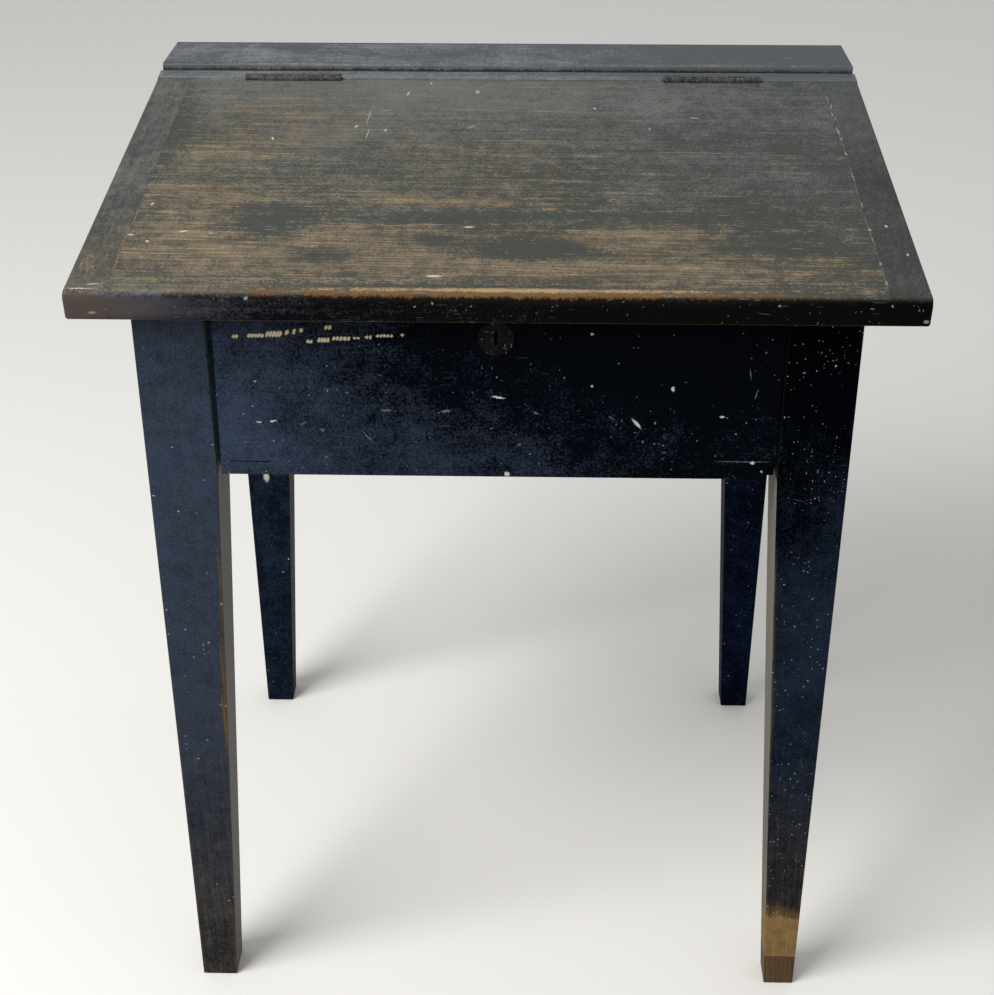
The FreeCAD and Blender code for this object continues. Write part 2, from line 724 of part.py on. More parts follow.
def hinge_leaf(label, centre, side, knuckles):
    """One leaf, folded down the joint, with its knuckles round the axis."""
    made = lid_piece(label, centre)
    block(made, "Additive", ("hinge_length", "leaf_thick", "leaf_height - leaf_top"),
          ("-hinge_length / 2", span(side, "leaf_inner", "leaf_thick"), "-leaf_height"))
    for count in knuckles:
        left = f"-hinge_length / 2 + {count} * knuckle_step + knuckle_clear / 2"
        long = "knuckle_step - knuckle_clear"
        block(made, "Additive", (long, "leaf_thick", "leaf_top"),
              (left, span(side, "leaf_inner", "leaf_thick"), "-leaf_top"))
        rod(made, "Additive", "barrel_radius", long, (left, "0", "0"), "right")
    rod(made, "Subtractive", "bore_radius", "hinge_length + 2 * overrun",
        ("-hinge_length / 2 - overrun", "0", "0"), "right")
    for count in (-1, 0, 1):
        start = (f"{count} * screw_space", f"{side} * leaf_inner", "-screw_down")
        screw_hole(made, start, "back" if side > 0 else "front", "leaf_thick")


for hand, centre in hinge_places.items():
    hinge_leaf(f"{hand}_hinge_rail_leaf", centre, 1, (0, 2, 4))
    hinge_leaf(f"{hand}_hinge_lid_leaf", centre, -1, (1, 3))
    pin = lid_piece(f"{hand}_hinge_pin", centre)
    rod(pin, "Additive", "pin_radius", "hinge_length", ("-hinge_length / 2", "0", "0"), "right")
    for leaf, side, way in (("rail", 1, "back"), ("lid", -1, "front")):
        leaf_screws = lid_piece(f"{hand}_{leaf}_leaf_screws", centre)
        screw(leaf_screws, ("-screw_space", f"{side} * leaf_inner", "-screw_down"), way, "screw_length")
        repeat(leaf_screws, "X_Axis", "2 * screw_space", 3)

# Lock: a bent plate on the inside of the front apron, with a case let into the wood

lock_plate = piece("lock_plate")
block(lock_plate, "Additive", ("lock_width", "lock_sheet", "lock_height"),
      ("-lock_width / 2", "front_inner", "lock_low"))
block(lock_plate, "Additive", ("lock_width", "flange_depth", "lock_sheet"),
      ("-lock_width / 2", "front_inner - flange_depth", "case_top"))
for sign in (-1, 1):
    block(lock_plate, "Subtractive",
          ("staple_thick + 2 * slot_clear", "staple_wide + slot_clear + slot_front",
           "lock_sheet + 2 * overrun"),
          (f"{sign} * staple_side - staple_thick / 2 - slot_clear",
           "front_inner - staple_inset - staple_wide / 2 - slot_front", "case_top - overrun"))
lock_screw_starts = []
for sign in (-1, 1):
    for drop in ("lock_screw_drop", "lock_screw_drop + lock_screw_space"):
        height = f"flange_top - ({drop})"
        lock_screw_starts.append((f"{sign} * lock_screw_side", "front_inner + lock_sheet", height))
for start in lock_screw_starts:
    screw_hole(lock_plate, start, "front", "lock_sheet")

lock_case = piece("lock_case")
block(lock_case, "Additive", ("case_width", "case_depth", "case_height"),
      ("-case_width / 2", "front_inner - case_depth", "case_low"))
block(lock_case, "Subtractive",
      ("case_width - 2 * case_wall", "case_depth - case_wall + overrun", "case_height - case_wall + overrun"),
      ("-case_width / 2 + case_wall", "front_inner - case_depth + case_wall", "case_low + case_wall"))
rod(lock_case, "Subtractive", "key_round", "2 * overrun",
    ("0", "front_inner - case_depth - overrun", "key_height"), "back")
block(lock_case, "Subtractive", ("key_slot_wide", "2 * overrun", "key_slot_drop"),
      ("-key_slot_wide / 2", "front_inner - case_depth - overrun", "key_height - key_slot_drop"))

key_pin = piece("key_pin")
rod(key_pin, "Additive", "key_pin_radius", "key_pin_out", ("0", "front_inner", "key_height"), "front")

lock_screws = piece("lock_screws")
for start in lock_screw_starts:
    screw(lock_screws, start, "front", "lock_screw_length")

# Bolt, drawn back: a bar with a post and a finger for each eye of the link plate

lock_bolt = piece("lock_bolt")
finger_end = "staple_side - staple_thick / 2 - bolt_short"
post_left = f"{finger_end} - bolt_finger_length - bolt_post_wide"
block(lock_bolt, "Additive",
      ("2 * staple_side + bolt_finger_length + bolt_post_wide", "case_depth - case_wall - 2 * bolt_clear",
       "bolt_bar_height"),
      (f"{post_left} - 2 * staple_side", "front_inner - case_depth + case_wall + bolt_clear", "bolt_bar_low"))
for shift in ("0", "2 * staple_side"):
    block(lock_bolt, "Additive",
          ("bolt_post_wide", "bolt_finger_wide", "finger_low + bolt_finger_height - bolt_bar_low"),
          (f"{post_left} - {shift}", "eye_y - bolt_finger_wide / 2", "bolt_bar_low"))
    block(lock_bolt, "Additive",
          ("bolt_finger_length + bolt_post_wide", "bolt_finger_wide", "bolt_finger_height"),
          (f"{post_left} - {shift}", "eye_y - bolt_finger_wide / 2", "finger_low"))

# Link plate, let into the underside of the lid, with two eyes that drop into the lock

link_plate = lid_piece("link_plate")
block(link_plate, "Additive", ("lock_width", "flange_depth", "lock_sheet"),
      ("-lock_width / 2", "staple_place - flange_depth / 2", "lid_low"))
for sign in (-1, 1):
    left = f"{sign} * staple_side - staple_thick / 2"
    block(link_plate, "Additive", ("staple_thick", "staple_wide", "staple_drop"),
          (left, "staple_place - staple_wide / 2", "lid_low - staple_drop"))
    block(link_plate, "Subtractive", ("staple_thick + 2 * slot_clear", "eye_wide", "eye_height"),
          (f"{left} - slot_clear", "staple_place - eye_wide / 2", "lid_low - eye_drop - eye_height / 2"))
    screw_hole(link_plate, (f"{sign} * link_screw_side", "staple_place", "lid_low"), "up", "lock_sheet")

link_screws = lid_piece("link_screws")
screw(link_screws, ("-link_screw_side", "staple_place", "lid_low"), "up", "screw_length")
repeat(link_screws, "X_Axis", "2 * link_screw_side", 2)

# Escutcheon round the keyhole, with a raised rim, and the two pins that hold it

escutcheon = piece("escutcheon")
rod(escutcheon, "Additive", "plate_radius", "plate_thick + rim_high",
    ("0", "front_wood", "plate_height"), "front")
rod(escutcheon, "Subtractive", "plate_radius - rim_wide", "rim_high + overrun",
    ("0", "front_wood - plate_thick", "plate_height"), "front")
rod(escutcheon, "Subtractive", "key_round", "2 * overrun",
    ("0", "front_wood + overrun", "key_height"), "front")
block(escutcheon, "Subtractive", ("key_slot_wide", "2 * overrun", "key_slot_drop"),
      ("-key_slot_wide / 2", "front_wood - overrun", "key_height - key_slot_drop"))
escutcheon_pins = piece("escutcheon_pins")
for sign in (-1, 1):
    place = (f"{sign} * plate_pin_side", "front_wood - plate_thick", "plate_height")
    rod(escutcheon, "Subtractive", "plate_pin_radius", "2 * overrun",
        (place[0], "front_wood + overrun", "plate_height"), "front")
    rod(escutcheon_pins, "Additive", "plate_pin_radius", "plate_pin_length", place, "back")
    rod(escutcheon_pins, "Additive", "plate_pin_head", "rim_high", place, "front")

# Every piece has to be whole before it is written

doc.recompute()
for thing in doc.Objects:
    if "Invalid" in thing.State or "Error" in thing.State:
        raise RuntimeError(f"{thing.Label} is not built: {thing.State}")
os.makedirs("parts", exist_ok=True)
for made in doc.findObjects("PartDesign::Body"):
    if made.Shape.isNull() or not made.Shape.isValid():
        raise RuntimeError(f"{made.Label} is not a sound solid")
    made.Shape.exportStep(f"parts/{made.Label}.step")
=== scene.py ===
import math

import bpy
from mathutils import Euler, Matrix, Vector


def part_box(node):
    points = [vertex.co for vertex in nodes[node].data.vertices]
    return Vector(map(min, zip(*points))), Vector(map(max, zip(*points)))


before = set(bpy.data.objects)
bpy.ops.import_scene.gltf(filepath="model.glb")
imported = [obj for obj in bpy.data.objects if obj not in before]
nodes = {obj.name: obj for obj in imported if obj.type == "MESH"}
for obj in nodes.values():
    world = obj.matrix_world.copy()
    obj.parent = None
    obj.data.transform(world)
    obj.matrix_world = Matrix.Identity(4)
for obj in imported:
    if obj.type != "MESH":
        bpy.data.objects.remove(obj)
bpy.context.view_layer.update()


# Legs
# Four posts of pine, square where the aprons meet them and tapered on both inner faces to the floor.
# They are brushed with blue-black paint. Shoes and brooms have rubbed the arrises brown, and white
# paint has spattered the right one. Its foot has lost its paint and stands on a let-in tip.

MM = 0.001
SHARE, FIRST, SECOND, MIXED = 0, 6, 7, 2  # the sockets of a Mix node that mixes two colours


def linear(colour):
    """An sRGB hex colour as the linear colour that a shader takes."""
    parts = [int(colour[i:i + 2], 16) / 255 for i in (1, 3, 5)]
    return tuple(p / 12.92 if p <= 0.04045 else ((p + 0.055) / 1.055) ** 2.4 for p in parts) + (1,)


def add(tree, kind, output, inputs, **settings):
    """Adds one shader node with its settings, gives its inputs values or links, and returns one output."""
    node = tree.nodes.new("ShaderNode" + kind)
    for setting, value in settings.items():
        setattr(node, setting, value)
    for socket, value in inputs.items():
        if isinstance(value, bpy.types.NodeSocket):
            tree.links.new(value, node.inputs[socket])
        else:
            node.inputs[socket].default_value = value
    return node.outputs[output]


def varied(tree, value, patterns):
    """A value with patterns added to it, each taken from its middle and given its own weight."""
    for pattern, weight in patterns:
        swing = add(tree, "Math", 0, {0: pattern, 1: 0.5}, operation="SUBTRACT")
        value = add(tree, "Math", 0, {0: swing, 1: weight, 2: value}, operation="MULTIPLY_ADD")
    return value


def touched(tree, value, spot, places):
    """A value raised or lowered round some places, each with a centre and a reach along the axes in mm."""
    for centre, reach, strength in places:
        local = add(tree, "Mapping", "Vector", {
            "Vector": spot, "Location": Vector(centre) * MM, "Scale": Vector(reach) * MM},
            vector_type="TEXTURE")
        ball = add(tree, "TexGradient", "Fac", {"Vector": local}, gradient_type="SPHERICAL")
        value = add(tree, "Math", 0, {0: ball, 1: strength, 2: value}, operation="MULTIPLY_ADD")
    return value


def from_mark(tree, spot, centre, reach, turn=(0, 0, 0)):
    """The distance from a mark's centre, as 1 at the mark's rim, with the centre and the reach in mm."""
    local = add(tree, "Mapping", "Vector", {
        "Vector": spot, "Location": Vector(centre) * MM, "Rotation": turn, "Scale": Vector(reach) * MM},
        vector_type="TEXTURE")
    return add(tree, "VectorMath", "Value", {0: local}, operation="LENGTH")


def pine_grain(tree, spot, along, board):
    """Growth rings and fibres of one sawn pine board, each from 0 to 1, along an axis of the desk."""
    ring_width = 5 * MM
    ring_wander = 70 * MM
    ring_stretch = 0.07
    fibre_length = 45 * MM
    fibre_width = 1.1 * MM  # real fibres are finer, and are drawn this wide so that they show
    axis = "XYZ".index(along)
    slow = [1, 1, 1]
    slow[axis] = ring_stretch
    fine = [1 / fibre_width] * 3
    fine[axis] = 1 / fibre_length
    shift = (0.31 * board, 0.17 * board, 0.23 * board)  # each board comes from another place in the log
    drawn = add(tree, "Mapping", "Vector", {"Vector": spot, "Location": shift, "Scale": slow})
    band_scale = 2 * math.pi / (10 * ring_width)  # a wave texture runs through ten radians a unit
    rings = add(tree, "TexWave", "Fac", {
        "Vector": drawn, "Scale": band_scale, "Distortion": 26, "Detail": 2.5,
        "Detail Scale": 1 / (ring_wander * band_scale), "Detail Roughness": 0.45,
    }, wave_type="BANDS", bands_direction="DIAGONAL", wave_profile="SAW")
    threads = add(tree, "Mapping", "Vector", {"Vector": spot, "Location": shift, "Scale": fine})
    fibre = add(tree, "TexNoise", "Fac", {"Vector": threads, "Scale": 1, "Detail": 2, "Roughness": 0.6})
    return rings, fibre


def flecks(tree, spot, spacing, length, width, share, scatter=math.pi):
    """Marks of up to that length and width, one in a share of the cells of a random net over the piece,
    turned at random within a scatter about the level."""
    across = add(tree, "VectorMath", "Value", {0: spot, 1: (1, 0.7, 0)}, operation="DOT_PRODUCT")
    upward = add(tree, "VectorMath", "Value", {0: spot, 1: (0, 0.7, 1)}, operation="DOT_PRODUCT")
    sheet = add(tree, "CombineXYZ", "Vector", {"X": across, "Y": upward})
    centre = add(tree, "TexVoronoi", "Position", {"Vector": sheet, "Scale": 1 / spacing},
                 voronoi_dimensions="2D")
    chance = add(tree, "SeparateColor", "Red", {"Color": centre.node.outputs["Color"]})
    local = add(tree, "VectorMath", "Vector", {0: sheet, 1: centre}, operation="SUBTRACT")
    angle = add(tree, "MapRange", "Result", {
        "Value": chance.node.outputs["Green"], "To Min": -scatter / 2, "To Max": scatter / 2})
    turned = add(tree, "VectorRotate", "Vector", {"Vector": local, "Angle": angle}, rotation_type="Z_AXIS")
    sized = add(tree, "Mapping", "Vector", {"Vector": turned, "Scale": (2 / length, 2 / width, 0)})
    reach = add(tree, "VectorMath", "Value", {0: sized}, operation="LENGTH")
    limit = add(tree, "MapRange", "Result", {"Value": chance, "From Min": 1 - share, "From Max": 1})
    mark = add(tree, "Math", 0, {0: limit, 1: reach}, operation="SUBTRACT")
    return add(tree, "MapRange", "Result", {"Value": mark, "From Min": 0, "From Max": 0.25})


def painted_pine(name, along, board, paint, wood, wear, gloss, shine, sun_and_sheen=0.0, wear_and_highlight_marks=(), painted_light_and_haze_marks=(),
                 chips=(), edge_reach=3 * MM, edge_wear=0.5, specks=(0.1, "#a0a4a6", 6),
                 scratches=(0.1, "#3c434b", 18), scatter=math.pi, inside=None, edge_bands=(), dust=0.0,
                 uneven=1.0):
    """Thin black paint brushed on pine: it wears brown along the grain, then to bare wood, and gets flecked
    and scratched. The marks of wear, haze, edge bands and chips have their own places, in mm, and some of
    them are painted light: highlights, sheen and shadow."""
    patch_size = 80 * MM
    mottle_size = 13 * MM
    speckle_size = 2.2 * MM
    streak_length = 150 * MM
    streak_width = 5 * MM
    fray_size = 1.8 * MM
    fray_reach = 2.6  # in mm, like the places of the marks
    scratch_width = 0.7 * MM
    relief_height = 0.3 * MM
    sheltered = 0.6  # how much less a face wears that sleeves and light don't reach
    brushed = 0.8 if sun_and_sheen else 0.3
    material = bpy.data.materials.new(name)
    material.use_nodes = True
    tree = material.node_tree
    shader = tree.nodes["Principled BSDF"]
    shader.inputs["Specular IOR Level"].default_value = shine
    shader.inputs["Sheen Weight"].default_value = dust
    shader.inputs["Sheen Roughness"].default_value = 0.3
    shader.inputs["Sheen Tint"].default_value = linear("#d8d4c8")
    spot = add(tree, "TexCoord", "Object", {})
    facing = add(tree, "TexCoord", "Normal", {})
    rings, fibre = pine_grain(tree, spot, along, board)
    thread = add(tree, "MapRange", "Result", {"Value": fibre, "From Min": 0.3, "From Max": 0.7})
    patches = add(tree, "TexNoise", "Fac", {
        "Vector": spot, "Scale": 1 / patch_size, "Detail": 4, "Roughness": 0.6})
    mottle = add(tree, "TexNoise", "Fac", {
        "Vector": spot, "Scale": 1 / mottle_size, "Detail": 5, "Roughness": 0.7})
    speckle = add(tree, "TexNoise", "Fac", {"Vector": spot, "Scale": 1 / speckle_size, "Detail": 2})
    drawn_out = [1 / streak_width] * 3
    drawn_out["XYZ".index(along)] = 1 / streak_length
    drawn = add(tree, "Mapping", "Vector", {"Vector": spot, "Scale": drawn_out})
    streaks = add(tree, "TexNoise", "Fac", {"Vector": drawn, "Scale": 1, "Detail": 5, "Roughness": 0.65})
    bend = add(tree, "TexNoise", "Color", {"Vector": spot, "Scale": 1 / fray_size, "Detail": 2})
    ragged = add(tree, "VectorMath", "Vector", {0: bend, 1: (fray_reach * MM,) * 3, 2: spot},
                 operation="MULTIPLY_ADD")
    fray_shift = Vector((fray_reach / 2,) * 3)

    # How far the paint has gone: browned and thin above some levels, through to the wood above the next.
    level = wear
    if sun_and_sheen:
        upward = add(tree, "SeparateXYZ", "Z", {"Vector": facing})
        facing_up = add(tree, "MapRange", "Result", {
            "Value": upward, "From Min": 0.45, "From Max": 0.97, "To Max": sun_and_sheen},
            interpolation_type="SMOOTHSTEP")
        level = add(tree, "MapRange", "Result", {"Value": facing_up, "To Min": wear - sheltered, "To Max": wear})
    level = touched(tree, level, spot, wear_and_highlight_marks)
    if edge_wear:
        rounded = add(tree, "Bevel", "Normal", {"Radius": edge_reach}, samples=4)
        flat = add(tree, "NewGeometry", "Normal", {})
        turned = add(tree, "VectorMath", "Value", {0: rounded, 1: flat}, operation="DOT_PRODUCT")
        edge = add(tree, "MapRange", "Result", {"Value": turned, "From Min": 0.99, "From Max": 0.8})
        level = add(tree, "Math", 0, {0: edge, 1: edge_wear, 2: level}, operation="MULTIPLY_ADD")
    patterns = ((patches, 0.5), (mottle, 1.0), (speckle, 0.8), (streaks, 0.9), (rings, 0.15), (thread, 0.15))
    browned = varied(tree, level, [(pattern, 0.6 * weight * uneven) for pattern, weight in patterns])
    level = varied(tree, level, [(pattern, weight * uneven) for pattern, weight in patterns])
    faint = add(tree, "MapRange", "Result", {
        "Value": browned, "From Min": 0.1, "From Max": 0.5, "To Max": 0.85})
    thin = add(tree, "MapRange", "Result", {"Value": level, "From Min": 0.22, "From Max": 0.72},
               interpolation_type="SMOOTHSTEP")
    bared = add(tree, "MapRange", "Result", {"Value": level, "From Min": 0.74, "From Max": 1.05},
                interpolation_type="SMOOTHSTEP")

    # Paint: black where it is sheltered, hazed where it was handled and where marks put painted light and
    # shade, and grey where it faces up, partly faded paint and partly a painted sheen.
    haze_with_painted_light = add(tree, "MapRange", "Result", {
        "Value": patches, "From Min": 0.35, "From Max": 0.75, "To Max": 0.4})
    haze_with_painted_light = touched(tree, haze_with_painted_light, spot, painted_light_and_haze_marks)
    haze_with_painted_light = varied(tree, haze_with_painted_light, ((mottle, 1.0), (speckle, 1.3), (streaks, brushed), (thread, 0.3 * brushed)))
    haze_with_painted_light = add(tree, "MapRange", "Result", {"Value": haze_with_painted_light})
    coat = add(tree, "Mix", MIXED, {SHARE: haze_with_painted_light, FIRST: linear(paint[0]), SECOND: linear(paint[1])},
               data_type="RGBA")
    if sun_and_sheen:
        faded_and_sheen_grey = add(tree, "Mix", MIXED, {SHARE: haze_with_painted_light, FIRST: linear(paint[2]), SECOND: linear(paint[3])},
                   data_type="RGBA")
        coat = add(tree, "Mix", MIXED, {SHARE: facing_up, FIRST: coat, SECOND: faded_and_sheen_grey}, data_type="RGBA")

    # Wood: browned under thin paint, with its figure where it is stained, and paler where it is bare.
    grain = add(tree, "MapRange", "Result", {"Value": streaks, "From Min": 0.33, "From Max": 0.67})
    figure = add(tree, "Mix", 0, {0: 0.25, 2: add(tree, "Mix", 0, {0: 0.75, 2: rings, 3: grain}), 3: thread})
    cloud = add(tree, "MapRange", "Result", {"Value": mottle, "From Min": 0.3, "From Max": 0.7})
    clouded = add(tree, "Mix", 0, {0: 0.4, 2: cloud, 3: thread})
    stained = add(tree, "Mix", MIXED, {SHARE: figure, FIRST: linear(wood[1]), SECOND: linear(wood[2])},
                  data_type="RGBA")
    bare = add(tree, "Mix", MIXED, {SHARE: clouded, FIRST: linear(wood[2]), SECOND: linear(wood[3])},
               data_type="RGBA")
    colour = add(tree, "Mix", MIXED, {SHARE: faint, FIRST: coat, SECOND: linear(wood[0])}, data_type="RGBA")
    colour = add(tree, "Mix", MIXED, {SHARE: thin, FIRST: colour, SECOND: stained}, data_type="RGBA")
    colour = add(tree, "Mix", MIXED, {SHARE: bared, FIRST: colour, SECOND: bare}, data_type="RGBA")

    # Bands along an edge, all of them ragged: on a nosed edge polished by sleeves, stain round brown wood
    # round a pale ridge, and along the foot of the top board's front face a painted shadow.
    for centre, reach, tone in edge_bands:
        far = from_mark(tree, ragged, Vector(centre) + fray_shift, reach)
        far = varied(tree, far, ((mottle, 1.8), (speckle, 1.3)))
        edge_band = add(tree, "MapRange", "Result", {
            "Value": far, "From Min": 1.05, "From Max": 0.45, "To Max": 0.9})
        colour = add(tree, "Mix", MIXED, {SHARE: edge_band, FIRST: colour, SECOND: linear(tone)},
                     data_type="RGBA")

    # Scratches, spots of spattered paint, and the chips that have a place of their own.
    share, tone, net = scratches
    scratch = flecks(tree, spot, net * MM, 0.95 * net * MM, scratch_width, share, scatter)
    if sun_and_sheen:
        shown = add(tree, "MapRange", "Result", {"Value": facing_up, "To Min": 0.25, "To Max": 1})
        scratch = add(tree, "Math", 0, {0: scratch, 1: shown}, operation="MULTIPLY")
    colour = add(tree, "Mix", MIXED, {SHARE: scratch, FIRST: colour, SECOND: linear(tone)}, data_type="RGBA")
    share, tone, net = specks
    speck = flecks(tree, ragged, net * MM, 0.5 * net * MM, 0.3 * net * MM, share)
    crowd = add(tree, "MapRange", "Result", {"Value": patches, "From Min": 0.42, "From Max": 0.52})
    speck = add(tree, "Math", 0, {0: speck, 1: crowd}, operation="MULTIPLY")
    if sun_and_sheen:
        dusted = add(tree, "MapRange", "Result", {"Value": facing_up, "To Min": 0.3, "To Max": 0.4})
        speck = add(tree, "Math", 0, {0: speck, 1: dusted}, operation="MULTIPLY")
    colour = add(tree, "Mix", MIXED, {SHARE: speck, FIRST: colour, SECOND: linear(tone)}, data_type="RGBA")
    for tone in sorted({chip[3] for chip in chips}):
        nearest = 9.0
        for centre, reach, turn in [chip[:3] for chip in chips if chip[3] == tone]:
            far = from_mark(tree, ragged, Vector(centre) + fray_shift, reach, turn)
            nearest = add(tree, "Math", 0, {0: far, 1: nearest}, operation="MINIMUM")
        chipped = add(tree, "MapRange", "Result", {"Value": nearest, "From Min": 1.1, "From Max": 0.6})
        colour = add(tree, "Mix", MIXED, {SHARE: chipped, FIRST: colour, SECOND: linear(tone)},
                     data_type="RGBA")

    # The side that looks inward shows the given tones between two heights: bare wood on the aprons and lid,
    # and on the legs thin paint with painted light and sheen. Above them it is painted black as the shadow
    # in the joint.
    if inside:
        direction, share, tones, (low, high) = inside
        inward = add(tree, "VectorMath", "Value", {0: facing, 1: direction}, operation="DOT_PRODUCT")
        inner_tone = add(tree, "Mix", MIXED, {SHARE: figure, FIRST: linear(tones[0]), SECOND: linear(tones[1])},
                  data_type="RGBA")
        grime = add(tree, "MapRange", "Result", {
            "Value": patches, "From Min": 0.5, "From Max": 0.8, "To Max": 0.5})
        inner_tone = add(tree, "Mix", MIXED, {SHARE: grime, FIRST: inner_tone, SECOND: linear(tones[2])}, data_type="RGBA")
        rise = add(tree, "SeparateXYZ", "Z", {"Vector": spot})
        joint_shadow = add(tree, "MapRange", "Result", {
            "Value": rise, "From Min": (high - 4) * MM, "From Max": (high + 2) * MM})
        inner_tone = add(tree, "Mix", MIXED, {SHARE: joint_shadow, FIRST: inner_tone, SECOND: linear("#040404")},
                  data_type="RGBA")
        inner = add(tree, "MapRange", "Result", {"Value": inward, "From Min": 0.75, "From Max": 0.8})
        cover = add(tree, "MapRange", "Result", {"Value": joint_shadow, "To Min": share, "To Max": 1})
        inner = add(tree, "Math", 0, {0: inner, 1: cover}, operation="MULTIPLY")
        above = add(tree, "MapRange", "Result", {
            "Value": rise, "From Min": (low - 15) * MM, "From Max": (low + 15) * MM})
        inner = add(tree, "Math", 0, {0: inner, 1: above}, operation="MULTIPLY")
        colour = add(tree, "Mix", MIXED, {SHARE: inner, FIRST: colour, SECOND: inner_tone}, data_type="RGBA")

    # Surface: worn paint is duller, the grain stands out, and bare wood and scratches lie lower.
    roughness = add(tree, "MapRange", "Result", {
        "Value": level, "From Min": 0.1, "From Max": 0.9, "To Min": gloss, "To Max": 0.65})
    height = add(tree, "Math", 0, {0: fibre, 1: 0.5, 2: rings}, operation="MULTIPLY_ADD")
    height = add(tree, "Math", 0, {0: bared, 1: -0.9, 2: height}, operation="MULTIPLY_ADD")
    height = add(tree, "Math", 0, {0: scratch, 1: -1.0, 2: height}, operation="MULTIPLY_ADD")
    relief = add(tree, "Bump", "Normal", {"Height": height, "Strength": 0.4, "Distance": relief_height})
    tree.links.new(colour, shader.inputs["Base Color"])
    tree.links.new(roughness, shader.inputs["Roughness"])
    tree.links.new(relief, shader.inputs["Normal"])
    return material


def dress(node, material, ease=0.0):
    """Gives a piece its finish, and eases its arrises by that radius or leaves them crisp."""
    same_place = 0.01 * MM
    same_plane = math.radians(0.5)
    arris_angle = math.radians(40)
    piece = nodes[node]
    piece.data.materials.clear()
    piece.data.materials.append(material)
    piece.modifiers.new("joined_faces", "WELD").merge_threshold = same_place
    flat = piece.modifiers.new("flat_faces", "DECIMATE")
    flat.decimate_type = "DISSOLVE"
    flat.angle_limit = same_plane
    if ease:
        arris = piece.modifiers.new("eased_arrises", "BEVEL")
        arris.width = ease
        arris.segments = 2
        arris.limit_method = "ANGLE"
        arris.angle_limit = arris_angle
    else:
        piece.modifiers.new("crisp_arrises", "EDGE_SPLIT").split_angle = arris_angle
    piece.modifiers.new("even_shading", "WEIGHTED_NORMAL")


# Blue-black oil paint on pine: dull, hazed to slate where hands reach it, and browner downwards. The left
# leg is hazed lighter and the right-hand legs are painted darker, painted light and shade for a lamp on the
# left, and the inward sides are painted black as shadow in the joints. The inner faces were hardly painted,
# and their tones carry painted light and sheen as well.
leg_paint = ("#040508", "#2b3442")
right_leg_shaded_paint = ("#010204", "#1b2533")
leg_wood = ("#2e2d2b", "#3f3022", "#5b472c", "#866c47")
left_inside_and_sheen = ("#484746", "#555454", "#3c3a38")
right_inside_and_light = ("#5e5a52", "#716c62", "#524d46")
leg_ease = 1.2 * MM
deep = 1000  # a reach, in mm, that goes right through a piece
joint_low = 575.5  # just above the lower edges of the aprons, in mm
under_apron = (-deep, joint_low)
above_foot = (85, joint_low)
worn_arris = [(242.5, 470), (246, 395), (250, 320)]
dress("front_left_leg", painted_pine(
    "blue_black_paint_on_pine_left_leg", "Z", 1, leg_paint, leg_wood, wear=-0.15, gloss=0.5, shine=0.05,
    wear_and_highlight_marks=[((-x, -239, z), (6, 6, 75), 0.5) for x, z in worn_arris]
    + [((-280, -240, 0), (400, 400, 750), 0.5)],
    painted_light_and_haze_marks=[((-275, -240, 500), (400, 400, 900), 0.75), ((-275, -240, 0), (300, 300, 300), -0.3)],
    specks=(0.05, "#8d9194", 5), inside=((1, 0, 0), 0.75, left_inside_and_sheen, under_apron), dust=0.2, uneven=0.6),
    leg_ease)
dress("front_right_leg", painted_pine(
    "blue_black_paint_on_pine_right_leg", "Z", 2, right_leg_shaded_paint, leg_wood, wear=-0.15, gloss=0.5, shine=0.005,
    wear_and_highlight_marks=[((x, -239, z), (6, 6, 75), 0.55) for x, z in worn_arris]
    + [((268, -232, 40), (60, 60, 66), 2.2), ((293, -228, 40), (50, 50, 50), 2.0),
       ((285, -235, 0), (400, 400, 520), 0.6)],
    painted_light_and_haze_marks=[((275, -240, 370), (300, 300, 350), 0.5), ((275, -240, 700), (300, 300, 240), -0.6),
           ((297, -240, 560), (24, 60, 260), 0.15)],
    edge_wear=0.25, specks=(0.22, "#8a8f93", 3.2), inside=((-1, 0, 0), 0.85, right_inside_and_light, above_foot),
    dust=0.05, uneven=0.4), leg_ease)
dress("back_left_leg", painted_pine(
    "blue_black_paint_on_pine_back_left_leg", "Z", 3, ("#060c15", "#233347"), leg_wood, wear=-0.15,
    gloss=0.5, shine=0.02, chips=[((-276, 203, 326), (4, 30, 8), (0, 0, 0), "#a8a491")],
    specks=(0.05, "#8d9194", 6), dust=0.05, uneven=0.6), leg_ease)
dress("back_right_leg", painted_pine(
    "blue_black_paint_on_pine_back_right_leg", "Z", 4, ("#020510", "#182540"), leg_wood, wear=-0.15,
    gloss=0.5, shine=0.01, specks=(0.1, "#6d7176", 5), dust=0.05, uneven=0.6), leg_ease)


# Tip of the right front leg
# A short block of brown wood glued under the sawn-off foot to bring the leg back to its length.
# It was never painted, and has gone dark brown with age and dirt from the floor.


